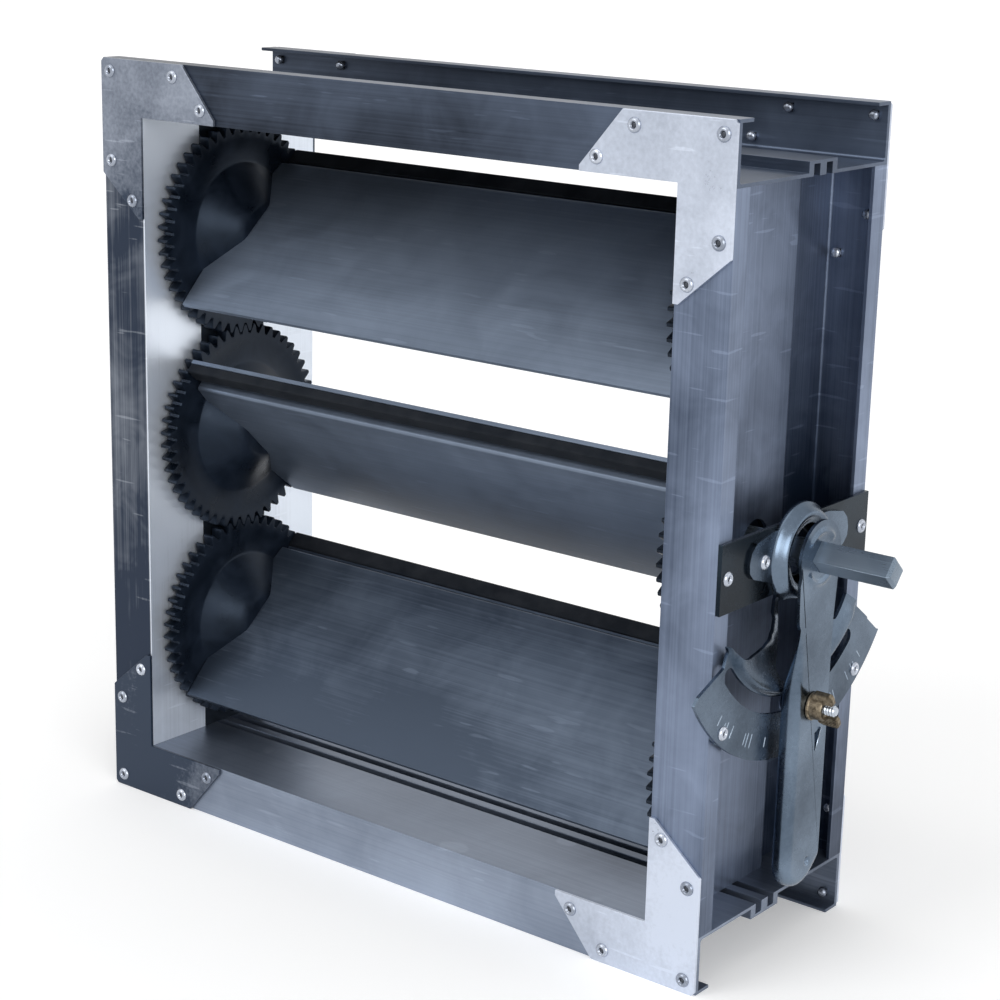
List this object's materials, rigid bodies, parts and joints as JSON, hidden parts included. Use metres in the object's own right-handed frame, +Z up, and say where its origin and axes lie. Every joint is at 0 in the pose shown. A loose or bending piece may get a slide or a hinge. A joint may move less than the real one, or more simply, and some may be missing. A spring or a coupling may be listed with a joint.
{
  "type": "air damper",
  "caption": "Rectangular duct damper: flanged aluminium frame, gear-linked opposed hollow blades, slotted quadrant, lever on a square spindle and wing nut.",
  "frame": {"origin": "on the plane that the damper stands on, below the middle of its opening and at the middle of its depth", "axes": "+X along the blades towards the lever, +Y through the duct from front to rear, +Z up"},
  "size_m": [0.4064, 0.1495, 0.368],
  "materials": {
    "frame_aluminium": "mill finish, brushed and scuffed",
    "plate_aluminium": "mill finish sheet",
    "rivet_aluminium": "bright",
    "blade_aluminium": "mill finish extrusion",
    "bearing_plastic": "black, dull",
    "gear_plastic": "black, satin",
    "seal_rubber": "black",
    "galvanised_steel": "galvanised, mottled",
    "zinc_steel": "zinc plated",
    "nut_brass": "dull brass"
  },
  "bodies": {
    "frame": {"frame_top": "frame_aluminium", "frame_bottom": "frame_aluminium", "frame_left": "frame_aluminium", "frame_right": "frame_aluminium", "corner_plate_front_top_left": "plate_aluminium", "corner_plate_front_top_right": "plate_aluminium", "corner_plate_front_bottom_left": "plate_aluminium", "corner_plate_front_bottom_right": "plate_aluminium", "corner_plate_rear_top_left": "plate_aluminium", "corner_plate_rear_top_right": "plate_aluminium", "corner_plate_rear_bottom_left": "plate_aluminium", "corner_plate_rear_bottom_right": "plate_aluminium", "rivets_front": "rivet_aluminium", "rivets_rear": "rivet_aluminium", "bearing_strip_left": "bearing_plastic", "bearing_strip_right": "bearing_plastic", "mounting_strip": "galvanised_steel", "strip_rivets": "rivet_aluminium", "quadrant": "zinc_steel", "quadrant_rivets": "rivet_aluminium"},
    "middle_blade": {"blade_middle": "blade_aluminium", "seal_middle": "seal_rubber", "gear_left_middle": "gear_plastic", "gear_right_middle": "gear_plastic", "drive_spindle": "zinc_steel", "lever": "zinc_steel", "clamp_bolt": "zinc_steel", "clamp_spacer": "zinc_steel"},
    "top_blade": {"blade_top": "blade_aluminium", "seal_top": "seal_rubber", "gear_left_top": "gear_plastic", "gear_right_top": "gear_plastic"},
    "bottom_blade": {"blade_bottom": "blade_aluminium", "seal_bottom": "seal_rubber", "gear_left_bottom": "gear_plastic", "gear_right_bottom": "gear_plastic"},
    "wing_nut": {"wing_nut": "nut_brass"}
  },
  "joints": [
    {"name": "middle_blade_turn", "type": "hinge", "parent": "frame", "child": "middle_blade", "pos_m": [0, 0, 0.184], "axis": [1, 0, 0], "range_deg": [-47.5, 42.5]},
    {"name": "top_blade_turn", "type": "hinge", "parent": "frame", "child": "top_blade", "pos_m": [0, 0, 0.284], "axis": [1, 0, 0], "range_deg": [-42.5, 47.5]},
    {"name": "bottom_blade_turn", "type": "hinge", "parent": "frame", "child": "bottom_blade", "pos_m": [0, 0, 0.084], "axis": [1, 0, 0], "range_deg": [-42.5, 47.5]},
    {"name": "wing_nut_turn", "type": "hinge", "parent": "middle_blade", "child": "wing_nut", "pos_m": [0.198, 0, 0.118], "axis": [1, 0, 0], "continuous": true}
  ],
  "couplings": [
    {"joint": "top_blade_turn", "follows": "middle_blade_turn", "ratio": -1},
    {"joint": "bottom_blade_turn", "follows": "middle_blade_turn", "ratio": -1}
  ]
}
